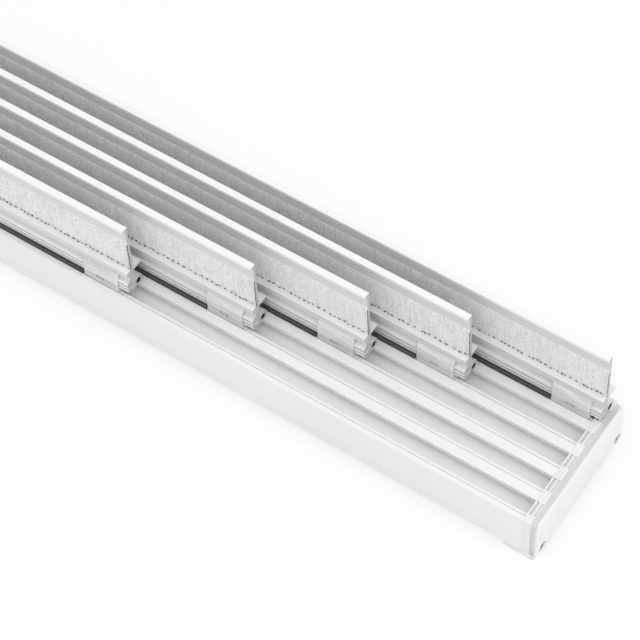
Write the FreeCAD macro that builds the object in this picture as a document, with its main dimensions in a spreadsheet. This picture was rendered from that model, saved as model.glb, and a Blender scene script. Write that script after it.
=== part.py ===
import FreeCAD, Part
import math
import os
import Sketcher

# Five-channel track for sliding curtain panels, shown with its channels facing up.
# X runs along the track, with the staggered carrier ends towards +X.
# Y runs across it, with channel 1 at -Y. Z is up, and Z = 0 is the underside of the cap feet.
# The origin is the middle of the track's underside.

CHANNELS = 5
RIGHT = 1
LEFT = -1
HANDS = {"right": RIGHT, "left": LEFT}
TINY = 1e-4

SIZES = {
    # The track as a whole
    "foot_height": (3.6, "how far the cap feet hold the rail off a surface"),
    "spare_run": (27.0, "first carrier's left glide from the left end cap"),
    "park_gap": (2.0, "fifth carrier's right glide from the right end cap"),
    # The rail's section
    "rail_height": (28.4, "underside of the floor to the top of the lands"),
    "channel_pitch": (15.0, "from one channel to the next"),
    "slot_width": (7.8, "opening of a channel"),
    "ledge_width": (2.2, "lowered strip along the rear of each land"),
    "ledge_drop": (0.8, "how far the ledge lies below the land"),
    "crease_width": (0.9, "narrow groove between land and ledge"),
    "crease_depth": (0.9, "that groove below the ledge"),
    "lip_thickness": (1.8, "metal under the ledge"),
    "front_rim": (2.4, "top of the front wall, in front of its ledge"),
    "rear_land": (6.4, "land behind the last slot"),
    "channel_depth": (6.6, "channel's floor below the lands"),
    "deck_thickness": (1.4, "floor of the channels, above the hollow chambers"),
    "floor_thickness": (1.8, "underside of the rail"),
    "wall_thickness": (1.6, "front and rear walls"),
    "stem_thickness": (1.8, "upright between two channels"),
    "port_bore": (2.9, "hole that takes a cap screw"),
    "port_wall": (1.7, "metal round that hole"),
    "port_inset": (5.0, "screw axis from the long sides"),
    "port_height": (4.4, "screw axis above the rail's underside"),
    # The end caps
    "collar_length": (4.4, "part of the cap flush with the lands"),
    "shoulder_length": (2.2, "lowered band between collar and plate"),
    "shoulder_depth": (0.9, "how far that band lies below the collar"),
    "plate_thickness": (2.0, "outer plate"),
    "plate_drop": (0.4, "plate's top below the lands"),
    "plate_corner": (5.0, "round of the plate's upper corners"),
    "plate_heel": (2.0, "round of the plate's lower corners"),
    "plate_edge": (1.4, "round of the plate's outer edge"),
    "foot_length": (18.5, "foot under the rail, from the cap's outer face"),
    "foot_width": (8.0, "foot across the track"),
    "foot_round": (3.0, "round at the foot's inner end"),
    "plug_length": (8.0, "plug inside each hollow chamber"),
    "plug_wall": (1.2, "wall of the hollow plug"),
    "plug_gap": (0.3, "clearance of a plug in its chamber"),
    "plug_base": (7.2, "plug's underside above the chamber's floor"),
    "trough_wall": (0.8, "thin wall beside each trough, as wide as the slot"),
    "trough_length": (1.4, "each of two troughs across the collar at each slot"),
    "trough_depth": (0.9, "depth of these troughs"),
    # The screws of the end caps
    "head_diameter": (5.2, "screw head"),
    "head_height": (1.5, "screw head"),
    "head_dome": (0.5, "crown of the screw head"),
    "recess_gap": (0.3, "round and above the head in its recess"),
    "shank_diameter": (2.8, "screw shank"),
    "shank_length": (16.0, "screw shank under the head"),
    "shank_point": (2.0, "tapered tip of the shank"),
    "drive_width": (0.9, "arm of the cross recess"),
    "drive_length": (2.8, "cross recess from tip to tip"),
    "drive_depth": (0.9, "cross recess"),
    # The carriers, measured from the middle of the slot and from the top of the lands
    "carrier_length": (400.0, "one panel carrier"),
    "carrier_top": (50.0, "top of the carrier"),
    "web_rear": (1.4, "rear face of the upright web"),
    "web_thickness": (1.6, "upright web that carries the panel"),
    "crown_depth": (3.3, "top lip, front to back"),
    "crown_height": (1.7, "top lip"),
    "sill_bottom": (13.4, "underside of the lip below the tape"),
    "sill_height": (3.8, "lip below the tape"),
    "sill_reach": (3.6, "that lip in front of the web"),
    "sill_wall": (1.1, "metal round the hollow of that lip"),
    "nose_front": (4.5, "front of the nose"),
    "nose_top": (9.3, "where the cove ends on the nose"),
    "nose_bottom": (2.5, "underside of the nose"),
    "nose_wall": (1.4, "metal round the nose's chamber"),
    "cove_radius": (3.4, "hollow curve between sill and nose"),
    "cove_bite": (1.7, "upper end of that curve in front of the web"),
    "chamber_slope": (2.0, "bevel at the top of the nose's chamber"),
    "rib_top": (7.4, "uppermost fine groove of the nose"),
    "rib_pitch": (2.65, "from one fine groove to the next"),
    "rib_width": (0.7, "fine groove"),
    "rib_depth": (0.6, "fine groove"),
    "flange_bottom": (0.4, "lower flange above the land"),
    "flange_thickness": (1.0, "lower flange"),
    "flange_front": (3.0, "front of the lower flange, set back under the nose"),
    "flange_reach": (3.2, "lower flange behind the web"),
    "clip_depth": (2.9, "rear of the groove under the nose, from the nose's front"),
    "fin_reach": (5.8, "rear fin behind the web"),
    "fin_bottom": (15.0, "underside of the rear fin"),
    "fin_thickness": (1.4, "rear fin"),
    "tube_radius": (3.3, "tube behind the web, outside"),
    "tube_bore": (3.4, "hole in that tube"),
    "tube_bite": (1.1, "tube sunk into the web"),
    "tube_sink": (0.9, "tube sunk into the lower flange"),
    # What is fitted to the carriers
    "tape_width": (22.0, "loop tape"),
    "tape_thickness": (1.0, "loop tape"),
    "glide_length": (21.0, "clip-on glide"),
    "glide_inset": (5.8, "glide from the carrier's end"),
    "glide_front": (5.8, "front of the glide"),
    "glide_shoulder": (9.6, "where the glide's rounded top begins"),
    "glide_brow": (0.3, "flat top of the glide in front of the sill"),
    "glide_radius": (6.5, "rounded top of the glide"),
    "hook_gap": (0.3, "glide's hook from the hollow curve it reaches into"),
    "glide_end": (0.8, "bevel of the glide's ends"),
    "slide_clearance": (0.3, "glide from the rail"),
    "shoe_width": (11.0, "shoe under the lips of the slot"),
    "shoe_thickness": (1.4, "that shoe"),
    "window_length": (5.0, "latch window of the glide"),
    "window_height": (2.2, "latch window of the glide"),
    "window_depth": (0.7, "latch window of the glide"),
    "window_bottom": (3.2, "latch window above the land"),
    "strip_front": (5.7, "front of the dark strip under the nose"),
    "strip_clearance": (0.4, "strip above the ledge"),
    "strip_gap": (0.5, "strip from the glides"),
    # Where the carriers stand
    "lag_one": (63.3, "first carrier's end behind the second's"),
    "lag_two": (53.9, "second carrier's end behind the third's"),
    "lag_three": (46.7, "third carrier's end behind the fourth's"),
    "lag_four": (65.6, "fourth carrier's end behind the fifth's"),
}


class Size:
    """A length worked out from the sheet: its number now, and the expression that keeps it."""

    def __init__(self, number, text):
        self.number = number
        self.text = text

    def __add__(self, other):
        other = as_size(other)
        return Size(self.number + other.number, f"({self.text} + {other.text})")

    def __sub__(self, other):
        other = as_size(other)
        return Size(self.number - other.number, f"({self.text} - {other.text})")

    def __mul__(self, factor):
        return Size(self.number * factor, f"({self.text} * {factor})")

    def __truediv__(self, factor):
        return Size(self.number / factor, f"({self.text} / {factor})")

    def __neg__(self):
        return Size(-self.number, f"(0 - {self.text})")


def as_size(value):
    return value if isinstance(value, Size) else Size(float(value), repr(float(value)))


doc = FreeCAD.newDocument("panel_track")


def make_sheet():
    """Writes the driving dimensions into the sheet and returns each as a Size."""
    sheet = doc.addObject("Spreadsheet::Sheet", "Sizes")
    sizes = {}
    for row, (name, (number, note)) in enumerate(SIZES.items(), start=1):
        sheet.set(f"A{row}", name)
        sheet.set(f"B{row}", str(number))
        sheet.set(f"C{row}", note)
        sheet.setAlias(f"B{row}", name)
        sizes[name] = Size(number, f"Sizes.{name}")
    doc.recompute()
    return sizes


S = make_sheet()

# Lengths that several pieces share, all worked out from the sheet
first_channel = S["front_rim"] + S["ledge_width"] + S["slot_width"] / 2
channel_span = S["channel_pitch"] * (CHANNELS - 1)
half_width = (first_channel + channel_span + S["slot_width"] / 2 + S["rear_land"]) / 2
land_top = S["foot_height"] + S["rail_height"]
lip_under = -(S["ledge_drop"] + S["lip_thickness"])
cavity_front = first_channel - S["wall_thickness"]
cavity_rear = S["channel_pitch"] - cavity_front - S["stem_thickness"]
deck_under = -(S["channel_depth"] + S["deck_thickness"])
floor_top = S["floor_thickness"] - S["rail_height"]
plate_start = S["collar_length"] + S["shoulder_length"]
cap_length = plate_start + S["plate_thickness"]
lags = [S["lag_one"], S["lag_two"], S["lag_three"], S["lag_four"]]
between_glides = S["carrier_length"] - S["glide_inset"] * 2
rail_length = S["spare_run"] + between_glides + lags[0] + lags[1] + lags[2] + lags[3] + S["park_gap"]
port_z = S["foot_height"] + S["port_height"]
port_y = half_width - S["port_inset"]
web_front = S["web_rear"] - S["web_thickness"]
sill_front = web_front - S["sill_reach"]
cove_rear = web_front - S["cove_bite"]
flange_top = S["flange_bottom"] + S["flange_thickness"]
clip_rear = S["clip_depth"] - S["nose_front"]


def channel_y(number):
    return first_channel - half_width + S["channel_pitch"] * (number - 1)


def carrier_end(number):
    """X of a carrier's right end: the fifth is parked near the cap, and the others lag behind."""
    end = rail_length / 2 - S["park_gap"] + S["glide_inset"]
    for lag in lags[number - 1:]:
        end = end - lag
    return end


# Sketches and features

def make_body(label, x=None, y=None, z=None):
    body = doc.addObject("PartDesign::Body", "Body_" + label)
    body.Label = label
    for axis, place in (("x", x), ("y", y), ("z", z)):
        if place is not None:
            body.setExpression(f"Placement.Base.{axis}", place.text)
    return body


def make_sketch(body, name, role="YZ_Plane", offset=None):
    """A sketch on one of the body's own planes: its first axis is Y on YZ and X on XZ."""
    sketch = body.newObject("Sketcher::SketchObject", f"{name}_{body.Label}")
    plane = next(item for item in body.Origin.OriginFeatures if item.Role == role)
    sketch.AttachmentSupport = [(plane, "")]
    sketch.MapMode = "FlatFace"
    if offset is not None:
        sketch.setExpression("AttachmentOffset.Base.z", offset.text)
    return sketch


def fix_point(sketch, edge, end, point):
    """Ties one point of an edge to two distances from the sketch's origin."""
    for kind, size in zip(("DistanceX", "DistanceY"), point):
        index = sketch.addConstraint(Sketcher.Constraint(kind, -1, 1, edge, end, size.number))
        sketch.setExpression(f"Constraints[{index}]", size.text)


def fix_radius(sketch, edge, radius):
    index = sketch.addConstraint(Sketcher.Constraint("Radius", edge, radius.number))
    sketch.setExpression(f"Constraints[{index}]", radius.text)


def round_edge(start, end, radius, turn):
    """An arc from start to end, turning left (1) or right (-1), of less than half a circle."""
    chord = end - start
    side = FreeCAD.Vector(-chord.y, chord.x, 0).normalize() * turn
    height = math.sqrt(max(radius ** 2 - (chord.Length / 2) ** 2, 0.0))
    centre = start + chord / 2 + side * height
    first, last = (start, end) if turn > 0 else (end, start)
    angles = [math.atan2(point.y - centre.y, point.x - centre.x) for point in (first, last)]
    circle = Part.Circle(centre, FreeCAD.Vector(0, 0, 1), radius)
    return Part.ArcOfCircle(circle, angles[0], angles[1])


def draw_outline(sketch, points):
    """A closed outline. A point is (x, y), or (x, y, radius, turn) where an arc starts."""
    base = sketch.GeometryCount
    corners = [tuple(as_size(value) for value in point[:2]) for point in points]
    places = [FreeCAD.Vector(x.number, y.number, 0) for x, y in corners]
    starts = []
    for index, point in enumerate(points):
        start = places[index]
        end = places[(index + 1) % len(points)]
        if len(point) == 4:
            edge = sketch.addGeometry(round_edge(start, end, as_size(point[2]).number, point[3]), False)
            starts.append(1 if point[3] > 0 else 2)
            fix_radius(sketch, edge, as_size(point[2]))
        else:
            sketch.addGeometry(Part.LineSegment(start, end), False)
            starts.append(1)
    for index, corner in enumerate(corners):
        before = index - 1 if index else len(points) - 1
        link = (base + before, 3 - starts[before], base + index, starts[index])
        sketch.addConstraint(Sketcher.Constraint("Coincident", *link))
        fix_point(sketch, base + index, starts[index], corner)


def draw_box(sketch, low, high):
    """A rectangle between two opposite corners."""
    draw_outline(sketch, [(low[0], low[1]), (high[0], low[1]), (high[0], high[1]), (low[0], high[1])])


def draw_circle(sketch, centre, diameter):
    centre = tuple(as_size(value) for value in centre)
    place = FreeCAD.Vector(centre[0].number, centre[1].number, 0)
    circle = Part.Circle(place, FreeCAD.Vector(0, 0, 1), diameter.number / 2)
    edge = sketch.addGeometry(circle, False)
    fix_radius(sketch, edge, diameter / 2)
    fix_point(sketch, edge, 3, centre)


def add_pad(body, sketch, length, towards=RIGHT):
    """Adds material from the sketch towards +X (RIGHT) or -X (LEFT)."""
    pad = body.newObject("PartDesign::Pad", "Pad_" + sketch.Name)
    pad.Profile = sketch
    pad.Reversed = towards == LEFT
    pad.setExpression("Length", length.text)
    sketch.Visibility = False
    return pad


def add_pocket(body, sketch, towards=RIGHT, depth=None):
    """Cuts from the sketch towards +X or -X, to the given depth or right through."""
    pocket = body.newObject("PartDesign::Pocket", "Pocket_" + sketch.Name)
    pocket.Profile = sketch
    pocket.Reversed = towards == RIGHT
    if depth is None:
        pocket.Type = "ThroughAll"
    else:
        pocket.setExpression("Length", depth.text)
    return pocket


def repeat_along(body, feature, sketch, axis, pitch, count):
    """Repeats a feature along one of its sketch's axes."""
    pattern = body.newObject("PartDesign::LinearPattern", "Row_" + feature.Name)
    pattern.Originals = [feature]
    pattern.Direction = (sketch, [axis])
    pattern.setExpression("Length", (pitch * (count - 1)).text)
    pattern.Occurrences = count
    body.Tip = pattern
    return pattern


def add_fillet(body, feature, edges, radius):
    fillet = body.newObject("PartDesign::Fillet", "Round_" + feature.Name)
    fillet.Base = (feature, edges)
    fillet.setExpression("Radius", radius.text)
    return fillet


def name_edges(shape, wanted):
    """Names of the edges whose bounding box passes a test."""
    return [f"Edge{index}" for index, edge in enumerate(shape.Edges, 1) if wanted(edge.BoundBox)]


# The rail: one extrusion with five slotted channels above hollow chambers

def make_rail():
    body = make_body("track_rail", x=-(rail_length / 2))
    block = make_sketch(body, "block")
    draw_box(block, (-half_width, S["foot_height"]), (half_width, land_top))
    add_pad(body, block, rail_length)

    middle = channel_y(1)
    half_slot = S["slot_width"] / 2
    ledge = land_top - S["ledge_drop"]
    lip = land_top + lip_under
    deck = land_top - S["channel_depth"]
    edge = middle - half_slot - S["ledge_width"]
    crease = ledge - S["crease_depth"]
    channel = make_sketch(body, "channel")
    draw_outline(channel, [
        (edge, land_top),
        (edge, crease),
        (edge + S["crease_width"], crease),
        (edge + S["crease_width"], ledge),
        (middle - half_slot, ledge),
        (middle - half_slot, lip),
        (middle - cavity_front, lip),
        (middle - cavity_front, deck),
        (middle + cavity_rear, deck),
        (middle + cavity_rear, lip),
        (middle + half_slot, lip),
        (middle + half_slot, land_top),
    ])
    repeat_along(body, add_pocket(body, channel), channel, "H_Axis", S["channel_pitch"], CHANNELS)
    chamber = make_sketch(body, "chamber")
    low = land_top + floor_top
    high = land_top + deck_under
    draw_box(chamber, (middle - cavity_front, low), (middle + cavity_rear, high))
    repeat_along(body, add_pocket(body, chamber), chamber, "H_Axis", S["channel_pitch"], CHANNELS)

    widened = make_sketch(body, "last_channel")
    last = channel_y(CHANNELS)
    draw_box(widened, (last, deck), (half_width - S["wall_thickness"], lip))
    draw_box(widened, (last, low), (half_width - S["wall_thickness"], high))
    add_pocket(body, widened)

    ports = make_sketch(body, "ports")
    for side in (-port_y, port_y):
        draw_circle(ports, (side, port_z), S["port_bore"] + S["port_wall"] * 2)
    add_pad(body, ports, rail_length)
    bores = make_sketch(body, "bores")
    for side in (-port_y, port_y):
        draw_circle(bores, (side, port_z), S["port_bore"])
    add_pocket(body, bores)
    return body


# The end caps: a collar that closes the channels, a rounded outer plate, feet and plugs

def make_cap_plate(body, hand):
    """Collar, shoulder and outer plate, one behind the other along X."""
    low = S["foot_height"]
    start = Size(0.0, "0")
    for name, length, depth in (
        ("collar", S["collar_length"], Size(0.0, "0")),
        ("shoulder", S["shoulder_length"], S["shoulder_depth"]),
    ):
        step = make_sketch(body, name, offset=start * hand)
        side = half_width - depth
        draw_box(step, (-side, low), (side, land_top - depth))
        add_pad(body, step, length, hand)
        start = start + length

    plate = make_sketch(body, "plate", offset=start * hand)
    top = land_top - S["plate_drop"]
    corner = S["plate_corner"]
    heel = S["plate_heel"]
    draw_outline(plate, [
        (-half_width, low + heel),
        (-half_width, top - corner, corner, -1),
        (corner - half_width, top),
        (half_width - corner, top, corner, -1),
        (half_width, top - corner),
        (half_width, low + heel, heel, -1),
        (half_width - heel, low),
        (heel - half_width, low, heel, -1),
    ])
    pad = add_pad(body, plate, S["plate_thickness"], hand)
    doc.recompute()
    outer = cap_length.number * hand
    rim = name_edges(pad.Shape, lambda box: abs(box.XMin - outer) < TINY and abs(box.XMax - outer) < TINY)
    add_fillet(body, pad, rim, S["plate_edge"])


def make_cap_feet(body, hand):
    """A rounded foot under the rail at the front and at the rear."""
    inner = -(S["foot_length"] - cap_length) * hand
    for name, side in (("front_foot", -1), ("rear_foot", 1)):
        middle = (half_width - S["foot_width"] / 2) * side
        foot = make_sketch(body, name, role="XZ_Plane", offset=-middle)
        draw_outline(foot, [
            (inner, S["foot_height"]),
            (inner, S["foot_round"], S["foot_round"], hand),
            (inner + S["foot_round"] * hand, 0),
            (plate_start * hand, 0),
            (plate_start * hand, S["foot_height"]),
        ])
        pad = body.newObject("PartDesign::Pad", "Pad_" + foot.Name)
        pad.Profile = foot
        pad.SideType = "Symmetric"
        pad.setExpression("Length", S["foot_width"].text)


def make_cap_plugs(body, hand):
    """A hollow plug in each chamber, and the two troughs that cross the collar at each slot."""
    middle = channel_y(1)
    front = middle - cavity_front + S["plug_gap"]
    rear = middle + cavity_rear - S["plug_gap"]
    low = land_top + floor_top + S["plug_base"]
    high = land_top + deck_under - S["plug_gap"]
    wall = S["plug_wall"]
    plug = make_sketch(body, "plug")
    draw_box(plug, (front, low), (rear, high))
    draw_box(plug, (front + wall, low + wall), (rear - wall, high - wall))
    pad = add_pad(body, plug, S["plug_length"], -hand)
    repeat_along(body, pad, plug, "H_Axis", S["channel_pitch"], CHANNELS)

    half_slot = S["slot_width"] / 2
    low = land_top - S["trough_depth"]
    start = S["trough_wall"]
    for name in ("trough_one", "trough_two"):
        trough = make_sketch(body, name, offset=start * hand)
        draw_box(trough, (middle - half_slot, low), (middle + half_slot, land_top))
        pocket = add_pocket(body, trough, hand, S["trough_length"])
        repeat_along(body, pocket, trough, "H_Axis", S["channel_pitch"], CHANNELS)
        start = start + S["trough_length"] + S["trough_wall"]


def make_end_cap(side):
    hand = HANDS[side]
    body = make_body("end_cap_" + side, x=rail_length / 2 * hand)
    make_cap_plate(body, hand)
    make_cap_feet(body, hand)
    make_cap_plugs(body, hand)

    holes = make_sketch(body, "screw_holes", offset=cap_length * hand)
    recesses = make_sketch(body, "screw_recesses", offset=cap_length * hand)
    for place in (-port_y, port_y):
        draw_circle(holes, (place, port_z), S["port_bore"] + S["recess_gap"])
        draw_circle(recesses, (place, port_z), S["head_diameter"] + S["recess_gap"] * 2)
    add_pocket(body, holes, -hand, cap_length)
    add_pocket(body, recesses, -hand, S["head_height"] + S["recess_gap"])
    return body


def make_cap_screws(side):
    """Two pan-head screws whose heads seat in the cap's recesses."""
    hand = HANDS[side]
    seat = (rail_length / 2 + cap_length - S["head_height"] - S["recess_gap"]) * hand
    body = make_body("cap_screws_" + side, x=seat, y=-port_y, z=port_z)
    head = S["head_diameter"] / 2
    shank = S["shank_diameter"] / 2
    crown = S["head_height"] - S["head_dome"]
    tip = S["shank_length"]
    profile = make_sketch(body, "profile", role="XZ_Plane")
    draw_outline(profile, [
        (S["head_height"] * hand, 0),
        (crown * hand, head),
        (0, head),
        (0, shank),
        (-(tip - S["shank_point"]) * hand, shank),
        (-tip * hand, 0),
    ])
    turned = body.newObject("PartDesign::Revolution", "Turned_" + profile.Name)
    turned.Profile = profile
    turned.ReferenceAxis = (profile, ["H_Axis"])
    turned.Angle = 360.0

    drive = make_sketch(body, "drive", offset=S["head_height"] * hand)
    arm = S["drive_width"] / 2
    reach = S["drive_length"] / 2
    draw_outline(drive, [
        (-reach, -arm), (-arm, -arm), (-arm, -reach), (arm, -reach), (arm, -arm), (reach, -arm),
        (reach, arm), (arm, arm), (arm, reach), (-arm, reach), (-arm, arm), (-reach, arm),
    ])
    recess = add_pocket(body, drive, -hand, S["drive_depth"])
    pair = body.newObject("PartDesign::LinearPattern", "Pair_" + body.Label)
    pair.Originals = [turned, recess]
    pair.Direction = (drive, ["H_Axis"])
    pair.setExpression("Length", (port_y * 2).text)
    pair.Occurrences = 2
    body.Tip = pair
    return body


# The carriers: one extrusion each, with a web, a ribbed nose, a tube and a lower flange

def place_on_channel(label, number, from_end=None):
    """A body whose origin is on the slot's middle line, level with the lands, behind a carrier's end."""
    start = carrier_end(number) - (from_end if from_end is not None else S["carrier_length"])
    return make_body(label, x=start, y=channel_y(number), z=land_top)


def nose_outline(gap=0.0):
    """The carrier's front from the nose's underside up to the sill; the glide keeps a gap in the cove."""
    return [
        (-S["nose_front"], S["nose_bottom"]),
        (-S["nose_front"], S["nose_top"] + gap, S["cove_radius"] - gap, 1),
        (cove_rear - gap, S["sill_bottom"]),
    ]


def groove_outline():
    """The open groove between the flange and the nose, from the flange's front inwards."""
    return [(-S["flange_front"], flange_top), (clip_rear, flange_top), (clip_rear, S["nose_bottom"])]


def make_carrier(number):
    body = place_on_channel(f"carrier_profile_{number}", number)
    rear = S["web_rear"]
    top = S["carrier_top"]
    crown_front = rear - S["crown_depth"]
    crown_under = top - S["crown_height"]
    sill_top = S["sill_bottom"] + S["sill_height"]
    fin_rear = rear + S["fin_reach"]
    fin_top = S["fin_bottom"] + S["fin_thickness"]
    flange_rear = rear + S["flange_reach"]
    section = make_sketch(body, "section")
    draw_outline(section, nose_outline() + [
        (sill_front, S["sill_bottom"]),
        (sill_front, sill_top),
        (web_front, sill_top),
        (web_front, crown_under),
        (crown_front, crown_under),
        (crown_front, top),
        (rear, top),
        (rear, fin_top),
        (fin_rear, fin_top),
        (fin_rear, S["fin_bottom"]),
        (rear, S["fin_bottom"]),
        (rear, flange_top),
        (flange_rear, flange_top),
        (flange_rear, S["flange_bottom"]),
        (-S["flange_front"], S["flange_bottom"]),
    ] + groove_outline())
    add_pad(body, section, S["carrier_length"])

    tube = make_sketch(body, "tube")
    tube_place = (rear + S["tube_radius"] - S["tube_bite"], flange_top + S["tube_radius"] - S["tube_sink"])
    draw_circle(tube, tube_place, S["tube_radius"] * 2)
    add_pad(body, tube, S["carrier_length"])

    chambers = make_sketch(body, "chambers")
    wall = S["nose_wall"]
    inner_front = wall - S["nose_front"]
    inner_low = S["nose_bottom"] + wall
    shoulder = S["nose_top"] - wall
    draw_outline(chambers, [
        (inner_front, inner_low),
        (web_front, inner_low),
        (web_front, shoulder + S["chamber_slope"]),
        (inner_front + S["chamber_slope"], shoulder + S["chamber_slope"]),
        (inner_front, shoulder),
    ])
    inset = S["sill_wall"]
    draw_box(chambers, (sill_front + inset, S["sill_bottom"] + inset), (web_front, sill_top - inset))
    draw_circle(chambers, tube_place, S["tube_bore"])
    add_pocket(body, chambers)

    ribs = make_sketch(body, "ribs")
    rib_rear = S["rib_depth"] - S["nose_front"]
    draw_box(ribs, (-S["nose_front"], S["rib_top"] - S["rib_width"]), (rib_rear, S["rib_top"]))
    groove = add_pocket(body, ribs)
    row = repeat_along(body, groove, ribs, "V_Axis", S["rib_pitch"], 2)
    row.Reversed = True
    return body


def make_tape(number):
    """The strip of loop tape that lies on the web between the sill and the bare band."""
    body = place_on_channel(f"loop_tape_{number}", number)
    section = make_sketch(body, "section")
    bottom = S["sill_bottom"] + S["sill_height"]
    front = web_front - S["tape_thickness"]
    draw_box(section, (front, bottom), (web_front, bottom + S["tape_width"]))
    add_pad(body, section, S["carrier_length"])
    return body


def make_glide(number, side):
    """A clip that wraps the nose and the flange, with a neck through the slot and a shoe below it."""
    start = S["glide_inset"] + S["glide_length"]
    if side == "left":
        start = S["carrier_length"] - S["glide_inset"]
    body = place_on_channel(f"glide_{side}_{number}", number, start)
    under = S["slide_clearance"] - S["ledge_drop"]
    neck = S["slot_width"] / 2 - S["slide_clearance"]
    shoe_top = lip_under - S["slide_clearance"]
    shoe_under = shoe_top - S["shoe_thickness"]
    shoe = S["shoe_width"] / 2
    section = make_sketch(body, "section")
    draw_outline(section, nose_outline(S["hook_gap"]) + [
        (sill_front - S["glide_brow"], S["sill_bottom"], S["glide_radius"], 1),
        (-S["glide_front"], S["glide_shoulder"]),
        (-S["glide_front"], under),
        (-neck, under),
        (-neck, shoe_top),
        (-shoe, shoe_top),
        (-shoe, shoe_under),
        (shoe, shoe_under),
        (shoe, shoe_top),
        (neck, shoe_top),
        (neck, S["flange_bottom"]),
        (-S["flange_front"], S["flange_bottom"]),
    ] + groove_outline())
    pad = add_pad(body, section, S["glide_length"])
    doc.recompute()
    front = -S["glide_front"].number
    ends = name_edges(pad.Shape, lambda box: abs(box.YMin - front) < TINY
                      and abs(box.YMax - front) < TINY and box.XLength < TINY)
    bevelled = body.newObject("PartDesign::Chamfer", "Bevel_" + pad.Name)
    bevelled.Base = (pad, ends)
    bevelled.setExpression("Size", S["glide_end"].text)

    window = make_sketch(body, "window", role="XZ_Plane", offset=S["glide_front"])
    middle = S["glide_length"] / 2
    half = S["window_length"] / 2
    low = S["window_bottom"]
    draw_box(window, (middle - half, low), (middle + half, low + S["window_height"]))
    cut = body.newObject("PartDesign::Pocket", "Pocket_" + window.Name)
    cut.Profile = window
    cut.setExpression("Length", S["window_depth"].text)
    doc.recompute()
    if not cut.Shape.Volume < bevelled.Shape.Volume:
        raise RuntimeError(f"the latch window of {body.Label} cuts nothing")
    return body


def make_strip(number):
    """The dark strip that sits in the groove under the nose and hangs in front of the flange."""
    taken = S["glide_inset"] + S["glide_length"] + S["strip_gap"]
    body = place_on_channel(f"seal_strip_{number}", number, S["carrier_length"] - taken)
    section = make_sketch(body, "section")
    low = S["strip_clearance"] - S["ledge_drop"]
    draw_outline(section, groove_outline() + [
        (-S["strip_front"], S["nose_bottom"]),
        (-S["strip_front"], low),
        (-S["flange_front"], low),
    ])
    add_pad(body, section, S["carrier_length"] - taken * 2)
    return body


def check_document():
    """Every feature has to be computed without an error before anything is written."""
    for item in doc.Objects:
        if {"Invalid", "Error"} & set(item.State):
            raise RuntimeError(f"{item.Label} failed: {item.State}")


def write_parts(parts):
    os.makedirs("parts", exist_ok=True)
    for part in parts:
        if part.Shape.isNull() or not part.Shape.isValid():
            raise RuntimeError(f"{part.Label} has no valid shape")
    for part in parts:
        part.Shape.exportStep(f"parts/{part.Label}.step")
        print(f"{part.Label}: {len(part.Shape.Solids)} solid, {part.Shape.Volume:.0f} mm3")


parts = [make_rail()]
for side in HANDS:
    parts += [make_end_cap(side), make_cap_screws(side)]
for number in range(1, CHANNELS + 1):
    parts += [make_carrier(number), make_tape(number), make_strip(number)]
    parts += [make_glide(number, side) for side in HANDS]
doc.recompute()
check_document()
write_parts(parts)
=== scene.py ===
import math
import random

import bpy
from mathutils import Matrix, Vector


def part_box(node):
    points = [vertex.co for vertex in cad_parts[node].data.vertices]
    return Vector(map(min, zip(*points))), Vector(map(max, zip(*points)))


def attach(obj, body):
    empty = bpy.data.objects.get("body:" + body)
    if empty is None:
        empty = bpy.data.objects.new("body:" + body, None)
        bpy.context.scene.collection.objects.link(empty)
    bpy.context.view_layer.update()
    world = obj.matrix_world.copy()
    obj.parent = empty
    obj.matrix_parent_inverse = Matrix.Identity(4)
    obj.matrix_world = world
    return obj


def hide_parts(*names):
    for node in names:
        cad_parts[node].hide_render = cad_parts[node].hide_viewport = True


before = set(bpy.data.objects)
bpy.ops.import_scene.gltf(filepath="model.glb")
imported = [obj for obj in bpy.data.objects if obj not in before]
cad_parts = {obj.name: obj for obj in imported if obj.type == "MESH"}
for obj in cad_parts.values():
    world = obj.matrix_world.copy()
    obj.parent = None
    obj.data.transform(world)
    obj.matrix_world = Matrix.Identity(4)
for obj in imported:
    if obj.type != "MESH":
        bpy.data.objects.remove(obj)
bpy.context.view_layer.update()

CHANNELS = range(1, 6)
MM = 0.001

# Places in the frame that the CAD and this scene share
LAND = 32.0 * MM  # top of the rail's lands
SLOT_1 = -30.9 * MM  # middle of the first channel's slot
PITCH = 15.0 * MM  # from one slot to the next
BAND_MIDDLE = (323.45 + 6.2) * MM  # thin band of an end cap, beyond the rail's end
CAP_SHOULDER = LAND - 0.9 * MM  # top of that band

# Boxes of the section in one channel, each with its middle, its height above the land, and half its
# width and height, in mm from the middle of the slot
# Painted shade in the nose's two rib grooves and in the recess under the nose
GROOVE_AND_RECESS_SHADE = ((-4.2, 7.05, 0.34, 0.36), (-4.2, 4.40, 0.34, 0.36), (-3.0, 1.45, 1.45, 1.08))
# Painted shade on the sill's front face and in the cove under it
SILL_AND_COVE_SHADE = ((-3.8, 15.3, 0.1, 1.8), (-3.1, 11.4, 1.45, 1.95))
# Painted shade on the web's front just under its top lip
WEB_UNDER_LIP_SHADE = ((-0.2, 43.9, 0.1, 4.5),)
# Painted highlight on the top lip and the sill's top, and painted light on the web's rear face
TOP_AND_REAR_PAINTED_LIGHT = ((-0.25, 49.15, 1.7, 0.9), (-1.9, 17.2, 1.88, 0.08), (1.4, 32.0, 0.1, 16.0))
# Painted shade, nearly black, in the tube's bore
TUBE_BORE_SHADE = ((3.6, 3.8, 1.72, 1.72),)
# Painted shade on the floor of a glide's latch window
LATCH_FLOOR_SHADE = ((-5.4, 4.3, 0.35, 1.15),)
# Painted light on the creases beside the rail's lands, lifting their shade
RAIL_CREASE_LIGHT = ((-5.65, -1.0, 0.5, 0.85),)

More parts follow.
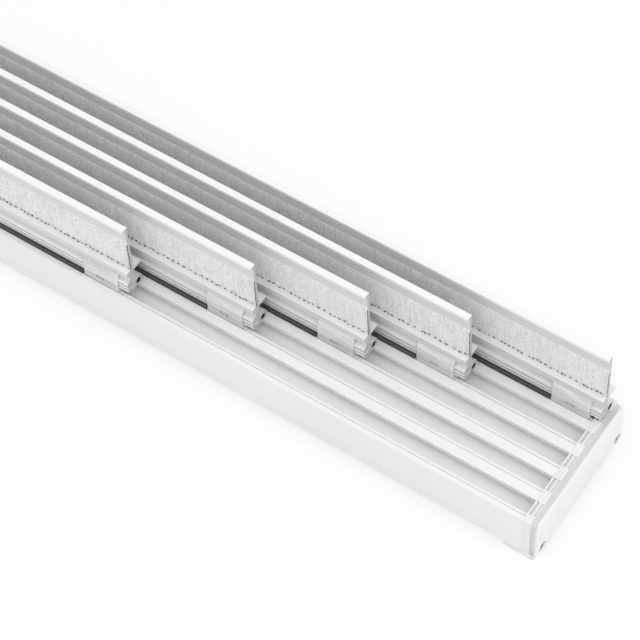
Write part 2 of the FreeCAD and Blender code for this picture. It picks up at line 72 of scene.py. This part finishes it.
# Outlines of the chambers in a carrier's nose and sill, in the same way
CHAMBERS = (((-3.2, 3.8), (0.0, 3.8), (0.0, 10.0), (-1.1, 10.0), (-3.2, 7.9)),
            ((-2.8, 14.4), (-0.1, 14.4), (-0.1, 16.2), (-2.8, 16.2)))
PLUG_INSET = 0.5 * MM
PLUG_LENGTH = 2.0 * MM

# Bevels of edges
RAIL_EDGE = 0.25 * MM
CAP_EDGE = 0.3 * MM
SHARP_ANGLE = 40

# A loop of the tape: its places along and above the foot, as shares of its width and height.
# Its ends are sunk into the ribbon.
LOOP_STEPS = ((-0.5, -0.3), (-0.36, 0.75), (0.0, 1.0), (0.36, 0.75), (0.5, -0.3))
LOOP_SIDES = 3
SIDE_ANGLE = 2.0944
FLATTENED = 0.6
UPRIGHT = 1.57
RIBBON_DEPTH = 0.70 * MM  # the ribbon's face behind the front of the CAD tape
EDGE_SHADE_DEPTH = 0.55 * MM  # feet of the dark marks of painted shade, in the same way

# Camera, fitted to the track's edges in the photograph
CAMERA_TURN = (37.013, 56.332, -3.90)
CAMERA_TARGET = Vector((154.9, 41.1, -40.7)) * MM
CAMERA_DISTANCE = 1.3660
FOCAL_PIXELS = 2652.3
IMAGE_PIXELS = 640
SENSOR = 36.0

# Floor and world
FLOOR_HALF = 6.0
FLOOR_HEIGHT = -0.0001
FLOOR_GLOW = 0.74
WORLD_STRENGTH = 0.71

# Lamps: name, place, target, size and watts
LAMPS = (
    ("top_light", (0.32, -0.30, 1.52), (0.15, 0.0, 0.0), (2.8, 2.2), 13.4),
    ("front_light", (0.5, -1.7, 0.6), (0.15, 0.0, 0.03), (1.4, 0.9), 1.0),
    ("end_light", (1.9, 0.1, 0.7), (0.3, 0.0, 0.03), (1.0, 0.8), 5.0),
)


# Camera

def turn(azimuth, elevation, roll):
    """Right, up and back directions of a camera that looks down at the object."""
    az, el, ro = (math.radians(value) for value in (azimuth, elevation, roll))
    right = Vector((math.cos(az), math.sin(az), 0))
    back = Vector((math.sin(az) * math.cos(el), -math.cos(az) * math.cos(el), math.sin(el)))
    up = back.cross(right)
    rolled_right = math.cos(ro) * right + math.sin(ro) * up
    rolled_up = math.cos(ro) * up - math.sin(ro) * right
    return rolled_right, rolled_up, back


def add_camera():
    right, up, back = turn(*CAMERA_TURN)
    data = bpy.data.cameras.new("photo_camera")
    data.sensor_width = SENSOR
    data.lens = FOCAL_PIXELS * SENSOR / IMAGE_PIXELS
    data.clip_end = 20.0
    camera = bpy.data.objects.new("photo_camera", data)
    bpy.context.collection.objects.link(camera)
    axes = Matrix((right, up, back)).transposed().to_4x4()
    camera.matrix_world = Matrix.Translation(CAMERA_TARGET + back * CAMERA_DISTANCE) @ axes
    bpy.context.scene.camera = camera


# Materials

class Nodes:
    """Short names for building one node material."""

    def __init__(self, name):
        self.material = bpy.data.materials.new(name)
        self.material.use_nodes = True
        self.tree = self.material.node_tree
        self.shader = self.tree.nodes["Principled BSDF"]
        self.place = self.tree.nodes.new("ShaderNodeTexCoord").outputs["Object"]
        separate = self.node("SeparateXYZ")
        self.link(self.place, separate.inputs[0])
        self.axes = separate.outputs

    def set(self, **values):
        for name, value in values.items():
            self.shader.inputs[name.replace("_", " ")].default_value = value

    def node(self, kind, **values):
        node = self.tree.nodes.new("ShaderNode" + kind)
        for name, value in values.items():
            if hasattr(node, name):
                setattr(node, name, value)
            else:
                node.inputs[name.replace("_", " ")].default_value = value
        return node

    def link(self, output, target):
        self.tree.links.new(output, target)

    def stretched(self, scale):
        mapping = self.node("Mapping")
        mapping.inputs["Scale"].default_value = scale
        self.link(self.place, mapping.inputs["Vector"])
        return mapping.outputs["Vector"]

    def noise(self, scale, detail=3.0, roughness=0.5, stretch=(1, 1, 1)):
        noise = self.node("TexNoise", Scale=scale, Detail=detail, Roughness=roughness)
        self.link(self.stretched(stretch), noise.inputs["Vector"])
        return noise.outputs["Fac"]

    def ramp(self, value, stops):
        ramp = self.node("ValToRGB")
        elements = ramp.color_ramp.elements
        while len(elements) < len(stops):
            elements.new(0.5)
        for element, (position, colour) in zip(elements, stops):
            element.position = position
            element.color = (*colour, 1) if isinstance(colour, tuple) else (colour,) * 3 + (1,)
        self.link(value, ramp.inputs["Fac"])
        return ramp.outputs["Color"]

    def mix(self, factor, first, second, blend="MIX"):
        mix = self.node("Mix", data_type="RGBA", blend_type=blend)
        factor_in, first_in, second_in = mix.inputs[0], mix.inputs[6], mix.inputs[7]
        for value, socket in ((factor, factor_in), (first, first_in), (second, second_in)):
            if isinstance(value, bpy.types.NodeSocket):
                self.link(value, socket)
            elif isinstance(value, tuple):
                socket.default_value = (*value, 1)
            else:
                socket.default_value = value
        return mix.outputs[2]

    def calc(self, operation, first, second=None):
        node = self.node("Math", operation=operation)
        for value, socket in ((first, node.inputs[0]), (second, node.inputs[1])):
            if isinstance(value, bpy.types.NodeSocket):
                self.link(value, socket)
            elif value is not None:
                socket.default_value = value
        return node.outputs["Value"]

    def away(self, value, middle):
        """Distance of a value from its middle."""
        return self.calc("ABSOLUTE", self.calc("SUBTRACT", value, middle))

    def bump(self, height, strength, distance, under=None):
        bump = self.node("Bump", Strength=strength, Distance=distance)
        self.link(height, bump.inputs["Height"])
        if under is not None:
            self.link(under, bump.inputs["Normal"])
        return bump.outputs["Normal"]

    def finish(self, colour=None, roughness=None, normal=None):
        for value, name in ((colour, "Base Color"), (roughness, "Roughness"), (normal, "Normal")):
            if value is not None:
                self.link(value, self.shader.inputs[name])
        return self.material


def powder_coat(name, low, high, tones):
    """Satin white coat on extruded aluminium: fine orange peel, faint lines along the extrusion."""
    m = Nodes(name)
    m.set(IOR=1.5, Coat_Weight=0.12, Coat_Roughness=0.22)
    colour = tones(m, m.ramp(m.noise(9.0, 2.0), [(0.3, low), (0.7, high)]))
    gloss = m.ramp(m.noise(40.0, 4.0, stretch=(0.15, 1, 1)), [(0.3, 0.34), (0.7, 0.44)])
    peel = m.bump(m.noise(2600.0, 2.0), 0.10, 0.00002)
    lines = m.bump(m.noise(900.0, 2.0, stretch=(0.004, 1, 1)), 0.08, 0.00003, peel)
    return m.finish(colour, gloss, lines)


def zone(m, boxes):
    """1 inside these boxes of the section, repeated at every channel."""
    shifted = m.calc("ADD", m.axes["Y"], PITCH / 2 - SLOT_1)
    across = m.calc("SUBTRACT", m.calc("FLOORED_MODULO", shifted, PITCH), PITCH / 2)
    inside = None
    for middle, height, half_width, half_height in boxes:
        aside = m.away(across, middle * MM)
        above = m.away(m.axes["Z"], LAND + height * MM)
        widest = m.calc("MAXIMUM", m.calc("DIVIDE", aside, half_width * MM),
                        m.calc("DIVIDE", above, half_height * MM))
        found = m.calc("LESS_THAN", widest, 1.0)
        inside = found if inside is None else m.calc("MAXIMUM", inside, found)
    return inside


def facing(m, axis):
    """1 on flat faces that look along this axis, either way."""
    geometry = m.node("NewGeometry")
    normal = m.node("SeparateXYZ")
    m.link(geometry.outputs["True Normal"], normal.inputs[0])
    return m.calc("GREATER_THAN", m.calc("ABSOLUTE", normal.outputs[axis]), 0.9995)


def carrier_light_shade_and_sawn_ends(m, colour):
    """Painted shade and painted light on places of a carrier's coat, painted shade in its tube's
    bore, and the grey of its sawn ends.
    """
    streaks = m.noise(300.0, 3.0, stretch=(0.1, 1, 1))
    # Painted shade on the sill's front and cove, on the web under its top lip, in the grooves and
    # recess and in the bore; painted light on the top faces and the web's rear face
    for boxes, low, high in ((SILL_AND_COVE_SHADE, 0.66, 0.71), (WEB_UNDER_LIP_SHADE, 0.685, 0.715),
                             (TOP_AND_REAR_PAINTED_LIGHT, 0.865, 0.895), (GROOVE_AND_RECESS_SHADE, 0.44, 0.54),
                             (TUBE_BORE_SHADE, 0.03, 0.06)):
        colour = m.mix(zone(m, boxes), colour, m.ramp(streaks, [(0.3, low), (0.7, high)]))
    saw_marks = m.ramp(m.noise(900.0, 3.0, stretch=(1, 0.2, 1)), [(0.3, 0.42), (0.7, 0.56)])
    return m.mix(facing(m, "X"), colour, saw_marks)


def rail_crease_painted_light(m, colour):
    """Painted light on the narrow creases beside the rail's lands, a little lighter than the rest.
    """
    streaks = m.noise(300.0, 3.0, stretch=(0.1, 1, 1))
    return m.mix(zone(m, RAIL_CREASE_LIGHT), colour, m.ramp(streaks, [(0.3, 0.94), (0.7, 0.96)]))


def milky_plastic(name):
    """Cap plastic, with painted shade in the thin band between its collar and its plate."""
    m = Nodes(name)
    m.set(IOR=1.47, Subsurface_Weight=0.3, Subsurface_Scale=0.002)
    m.shader.inputs["Subsurface Radius"].default_value = (1.0, 1.0, 1.0)
    cloud = m.ramp(m.noise(60.0, 3.0), [(0.3, (0.795, 0.805, 0.80)), (0.7, (0.83, 0.84, 0.835))])
    # Painted shade across the thin band, darkest at its middle
    aside = m.calc("DIVIDE", m.away(m.calc("ABSOLUTE", m.axes["X"]), BAND_MIDDLE), 2.0 * MM)
    band = m.ramp(aside, [(0.35, 0.85), (0.9, 1.0)])
    # More painted shade on the step's top faces at the shoulder's level
    level = m.calc("LESS_THAN", m.away(m.axes["Z"], CAP_SHOULDER), 0.1 * MM)
    sunk = m.calc("MULTIPLY", level, facing(m, "Z"))
    band = m.mix(sunk, band, (0.84, 0.84, 0.84))
    gloss = m.ramp(m.noise(300.0, 4.0), [(0.3, 0.28), (0.7, 0.38)])
    colour = m.mix(1.0, cloud, band, "MULTIPLY")
    return m.finish(colour, gloss, m.bump(m.noise(1500.0, 3.0), 0.12, 0.00003))


def clear_plastic(name):
    """Natural milky plastic of the glides, with painted shade along the middle and on the latch
    window's floor.
    """
    m = Nodes(name)
    m.set(IOR=1.46, Subsurface_Weight=0.6, Subsurface_Scale=0.0025)
    m.shader.inputs["Subsurface Radius"].default_value = (1.0, 1.0, 1.0)
    colour = m.ramp(m.noise(380.0, 3.0, stretch=(0.14, 1, 1)),
                    [(0.35, (0.63, 0.635, 0.635)), (0.5, (0.71, 0.715, 0.715)),
                     (0.65, (0.79, 0.795, 0.795))])
    # Painted shade along the glide's middle, darkest 3.6 mm above the land
    aside = m.calc("DIVIDE", m.away(m.axes["Z"], LAND + 3.6 * MM), 3.2 * MM)
    colour = m.mix(1.0, colour, m.ramp(aside, [(0.3, 0.80), (1.0, 1.0)]), "MULTIPLY")
    # Painted shade on the latch window's floor
    latch = m.calc("MULTIPLY", zone(m, LATCH_FLOOR_SHADE), facing(m, "Y"))
    colour = m.mix(latch, colour, m.ramp(m.noise(600.0, 2.0), [(0.3, 0.56), (0.7, 0.66)]))
    gloss = m.ramp(m.noise(500.0, 3.0, stretch=(0.3, 1, 1)), [(0.3, 0.16), (0.7, 0.30)])
    return m.finish(colour, gloss, m.bump(m.noise(700.0, 3.0, stretch=(0.3, 1, 1)), 0.25, 0.00006))


def loop_fabric(name):
    """Woven ground and loops of the tape, with fine upright rows; its cut ends are darker."""
    m = Nodes(name)
    m.set(Roughness=0.92, Sheen_Weight=0.45, Sheen_Roughness=0.5, IOR=1.4)
    rows = m.noise(820.0, 2.0, stretch=(1, 1, 0.10))
    speck = m.noise(700.0, 3.0, 0.6)
    ground = m.ramp(rows, [(0.38, (0.90, 0.905, 0.90)), (0.5, (0.965, 0.97, 0.965)),
                           (0.6, (0.985, 0.99, 0.985))])
    dots = m.ramp(speck, [(0.36, 0.85), (0.46, 0.965), (0.56, 1.0)])
    colour = m.mix(1.0, ground, dots, "MULTIPLY")
    colour = m.mix(facing(m, "X"), colour, m.ramp(speck, [(0.35, 0.16), (0.65, 0.40)]))
    weave = m.bump(rows, 0.6, 0.0004)
    return m.finish(colour, None, m.bump(speck, 0.9, 0.0010, weave))


def dark_rubber(name):
    """Matt black strip with faint lines along it."""
    m = Nodes(name)
    m.set(IOR=1.5, Sheen_Weight=0.15)
    colour = m.ramp(m.noise(220.0, 4.0, stretch=(0.08, 1, 1)),
                    [(0.3, (0.018, 0.018, 0.019)), (0.7, (0.045, 0.045, 0.047))])
    gloss = m.ramp(m.noise(500.0, 3.0), [(0.3, 0.45), (0.7, 0.62)])
    return m.finish(colour, gloss, m.bump(m.noise(1800.0, 3.0, stretch=(0.05, 1, 1)), 0.3, 0.00006))


def zinc_steel(name):
    """Zinc-plated screws."""
    m = Nodes(name)
    m.set(Metallic=1.0)
    colour = m.ramp(m.noise(700.0, 4.0), [(0.3, (0.42, 0.42, 0.43)), (0.7, (0.62, 0.62, 0.63))])
    gloss = m.ramp(m.noise(900.0, 3.0), [(0.3, 0.28), (0.7, 0.45)])
    return m.finish(colour, gloss, m.bump(m.noise(3000.0, 2.0), 0.15, 0.00002))


def painted_edge_shade(name):
    """Dark marks of painted shade in the gaps along the tape's lower edge."""
    m = Nodes(name)
    m.set(Roughness=0.85, Sheen_Weight=0.2)
    colour = m.ramp(m.noise(900.0, 3.0), [(0.35, (0.03, 0.03, 0.032)), (0.65, (0.16, 0.16, 0.165))])
    return m.finish(colour, None, m.bump(m.noise(4000.0, 2.0), 0.4, 0.00004))


def paint(node, material, bevel=None):
    """Gives a CAD node its material, and softens its edges by a modifier."""
    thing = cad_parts[node]
    if not thing.material_slots:
        thing.data.materials.append(material)
    for slot in thing.material_slots:
        slot.material = material
    if bevel:
        soften = thing.modifiers.new("soft_edges", "BEVEL")
        soften.width = bevel
        soften.segments = 2
        soften.limit_method = "ANGLE"
        soften.angle_limit = math.radians(SHARP_ANGLE)


# Pieces added to the CAD: the loop tapes' pile, dark marks of painted shade along their lower edge,
# and the chambers' plugs

def make_mesh(name, points, faces, material):
    mesh = bpy.data.meshes.new(name)
    mesh.from_pydata(points, [], faces)
    mesh.materials.append(material)
    thing = bpy.data.objects.new(name, mesh)
    bpy.context.collection.objects.link(thing)
    return thing


def add_prism(points, faces, ends, outline):
    """A bar along X with this outline of Y and Z."""
    base = len(points)
    count = len(outline)
    for x in ends:
        points.extend((x, y, z) for y, z in outline)
    faces.append(tuple(range(base + count - 1, base - 1, -1)))
    faces.append(tuple(range(base + count, base + count * 2)))
    for index in range(count):
        after = (index + 1) % count
        faces.append((base + index, base + after, base + count + after, base + count + index))


def add_loop(points, faces, foot, lean, width, height, thick):
    """One loop, of the pile or an edge mark: a bent three-sided tube standing on this foot, towards
    -Y.
    """
    base = len(points)
    cos, sin = math.cos(lean), math.sin(lean)
    for along, rise in LOOP_STEPS:
        x = foot[0] + along * width * cos
        z = foot[2] + along * width * sin
        y = foot[1] - rise * height
        for side in range(LOOP_SIDES):
            angle = side * SIDE_ANGLE
            points.append((x - thick * math.cos(angle) * sin,
                           y - thick * math.sin(angle) * FLATTENED,
                           z + thick * math.cos(angle) * cos))
    for ring in range(len(LOOP_STEPS) - 1):
        for side in range(LOOP_SIDES):
            a = base + ring * LOOP_SIDES + side
            b = base + ring * LOOP_SIDES + (side + 1) % LOOP_SIDES
            faces.append((a, b, b + LOOP_SIDES, a + LOOP_SIDES))


def make_tape(number, material):
    """The ribbon, which thins out at its top, with a thick bar at each cut end and its loops."""
    low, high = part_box(f"loop_tape_{number}")
    chance = random.Random(40 + number)
    points, faces = [], []
    ground = low[1] + RIBBON_DEPTH
    ribbon = ((ground, low[2]), (high[1], low[2]), (high[1], high[2]),
              (high[1] - 0.05 * MM, high[2]), (ground, high[2] - 2.5 * MM))
    add_prism(points, faces, (low[0], high[0]), ribbon)
    bar_front, bar_top, bar_length = low[1] + 0.1 * MM, high[2] - MM, 0.4 * MM
    bar = ((bar_front, low[2]), (high[1], low[2]), (high[1], bar_top), (bar_front, bar_top))
    add_prism(points, faces, (low[0], low[0] + bar_length), bar)
    add_prism(points, faces, (high[0] - bar_length, high[0]), bar)
    pitch, row = 1.25 * MM, 1.35 * MM
    length, tall = high[0] - low[0], high[2] - low[2]
    columns, rows = int(length / pitch), int(tall / row)
    for column in range(columns):
        for line in range(rows):
            x = low[0] + (column + 0.5 + chance.uniform(-0.22, 0.22)) * length / columns
            z = low[2] + (line + 0.5 + chance.uniform(-0.25, 0.25)) * tall / rows
            lean = chance.gauss(UPRIGHT, 0.8)
            height = chance.uniform(0.36, 0.58) * MM
            width = chance.uniform(0.8, 1.2) * MM
            add_loop(points, faces, (x, ground, z), lean, width, height, 0.18 * MM)
    tape = make_mesh(f"loop_pile_{number}", points, faces, material)
    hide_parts(f"loop_tape_{number}")
    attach(tape, f"carrier_{number}")


def make_edge_shade_marks(number, material):
    """Short dark marks of painted shade along the tape's lower edge, unevenly spaced."""
    low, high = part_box(f"loop_tape_{number}")
    chance = random.Random(90 + number)
    points, faces = [], []
    x = low[0] + 1.0 * MM
    while x < high[0] - 1.0 * MM:
        height = low[2] + chance.uniform(0.5, 1.6) * MM
        width = chance.uniform(0.6, 1.5) * MM
        thick = chance.uniform(0.26, 0.46) * MM
        foot = (x, low[1] + EDGE_SHADE_DEPTH, height)
        add_loop(points, faces, foot, chance.uniform(-0.4, 0.4), width, 0.30 * MM, thick)
        x += chance.choice((1.9, 2.4, 2.9, 3.6)) * chance.uniform(0.85, 1.2) * MM
    edge_marks = make_mesh(f"edge_shade_{number}", points, faces, material)
    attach(edge_marks, f"carrier_{number}")


def make_plugs(number, material):
    """Plain plugs just inside the ends of the nose's and the sill's chambers."""
    low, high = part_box(f"carrier_profile_{number}")
    middle = SLOT_1 + PITCH * (number - 1)
    points, faces = [], []
    for outline in CHAMBERS:
        section = [(middle + y * MM, LAND + z * MM) for y, z in outline]
        for start in (low[0] + PLUG_INSET, high[0] - PLUG_INSET - PLUG_LENGTH):
            add_prism(points, faces, (start, start + PLUG_LENGTH), section)
    plugs = make_mesh(f"chamber_plugs_{number}", points, faces, material)
    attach(plugs, f"carrier_{number}")


# Floor and light

def add_floor():
    """A pale floor that keeps the object's shadow, and is nearly white to the camera."""
    m = Nodes("floor_paint")
    m.set(Roughness=0.9)
    m.finish(m.ramp(m.noise(3.0, 2.0), [(0.3, 0.90), (0.7, 0.92)]))
    glow = m.node("Emission", Strength=1.0)
    glow.inputs["Color"].default_value = (1, 1, 1, 1)
    path = m.node("LightPath")
    blend = m.node("MixShader")
    m.link(m.calc("MULTIPLY", path.outputs["Is Camera Ray"], FLOOR_GLOW), blend.inputs["Fac"])
    m.link(m.shader.outputs["BSDF"], blend.inputs[1])
    m.link(glow.outputs["Emission"], blend.inputs[2])
    m.link(blend.outputs["Shader"], m.tree.nodes["Material Output"].inputs["Surface"])
    corners = ((-1, -1), (1, -1), (1, 1), (-1, 1))
    points = [(FLOOR_HALF * x, FLOOR_HALF * y, FLOOR_HEIGHT) for x, y in corners]
    floor = make_mesh("floor", points, [(0, 1, 2, 3)], m.material)


def add_lamp(name, place, target, size, watts):
    data = bpy.data.lights.new(name, "AREA")
    data.shape = "RECTANGLE"
    data.size, data.size_y = size
    data.energy = watts
    lamp = bpy.data.objects.new(name, data)
    bpy.context.collection.objects.link(lamp)
    lamp.location = place
    aim = Vector(target) - Vector(place)
    lamp.rotation_euler = aim.to_track_quat("-Z", "Y").to_euler()


def add_light():
    """A white backdrop for the camera, over an even world light and three broad lamps."""
    world = bpy.data.worlds.new("studio")
    bpy.context.scene.world = world
    world.use_nodes = True
    tree = world.node_tree
    background = tree.nodes["Background"]
    background.inputs["Color"].default_value = (1, 1, 1, 1)
    background.inputs["Strength"].default_value = WORLD_STRENGTH
    white = tree.nodes.new("ShaderNodeBackground")
    white.inputs["Color"].default_value = (1, 1, 1, 1)
    white.inputs["Strength"].default_value = 1.0
    path = tree.nodes.new("ShaderNodeLightPath")
    most = tree.nodes.new("ShaderNodeMath")
    most.operation = "MAXIMUM"
    tree.links.new(path.outputs["Is Camera Ray"], most.inputs[0])
    tree.links.new(path.outputs["Is Transmission Ray"], most.inputs[1])
    blend = tree.nodes.new("ShaderNodeMixShader")
    tree.links.new(most.outputs["Value"], blend.inputs["Fac"])
    tree.links.new(background.outputs["Background"], blend.inputs[1])
    tree.links.new(white.outputs["Background"], blend.inputs[2])
    tree.links.new(blend.outputs["Shader"], tree.nodes["World Output"].inputs["Surface"])
    for lamp in LAMPS:
        add_lamp(*lamp)


add_camera()

rail_white = powder_coat("rail_white", 0.83, 0.87, rail_crease_painted_light)
carrier_white = powder_coat("carrier_white", 0.79, 0.83, carrier_light_shade_and_sawn_ends)
cap_white = milky_plastic("cap_white")
glide_clear = clear_plastic("glide_clear")
tape_grey = loop_fabric("tape_grey")
strip_black = dark_rubber("strip_black")
screw_zinc = zinc_steel("screw_zinc")
edge_shade_black = painted_edge_shade("edge_shade_black")

paint("track_rail", rail_white, RAIL_EDGE)
for side in ("right", "left"):
    paint(f"end_cap_{side}", cap_white, CAP_EDGE)
    paint(f"cap_screws_{side}", screw_zinc)
for k in CHANNELS:
    paint(f"carrier_profile_{k}", carrier_white)
    paint(f"seal_strip_{k}", strip_black)
    paint(f"glide_right_{k}", glide_clear)
    paint(f"glide_left_{k}", glide_clear)
    make_tape(k, tape_grey)
    make_edge_shade_marks(k, edge_shade_black)
    make_plugs(k, carrier_white)

add_floor()
add_light()
bpy.context.scene.view_settings.view_transform = "Standard"
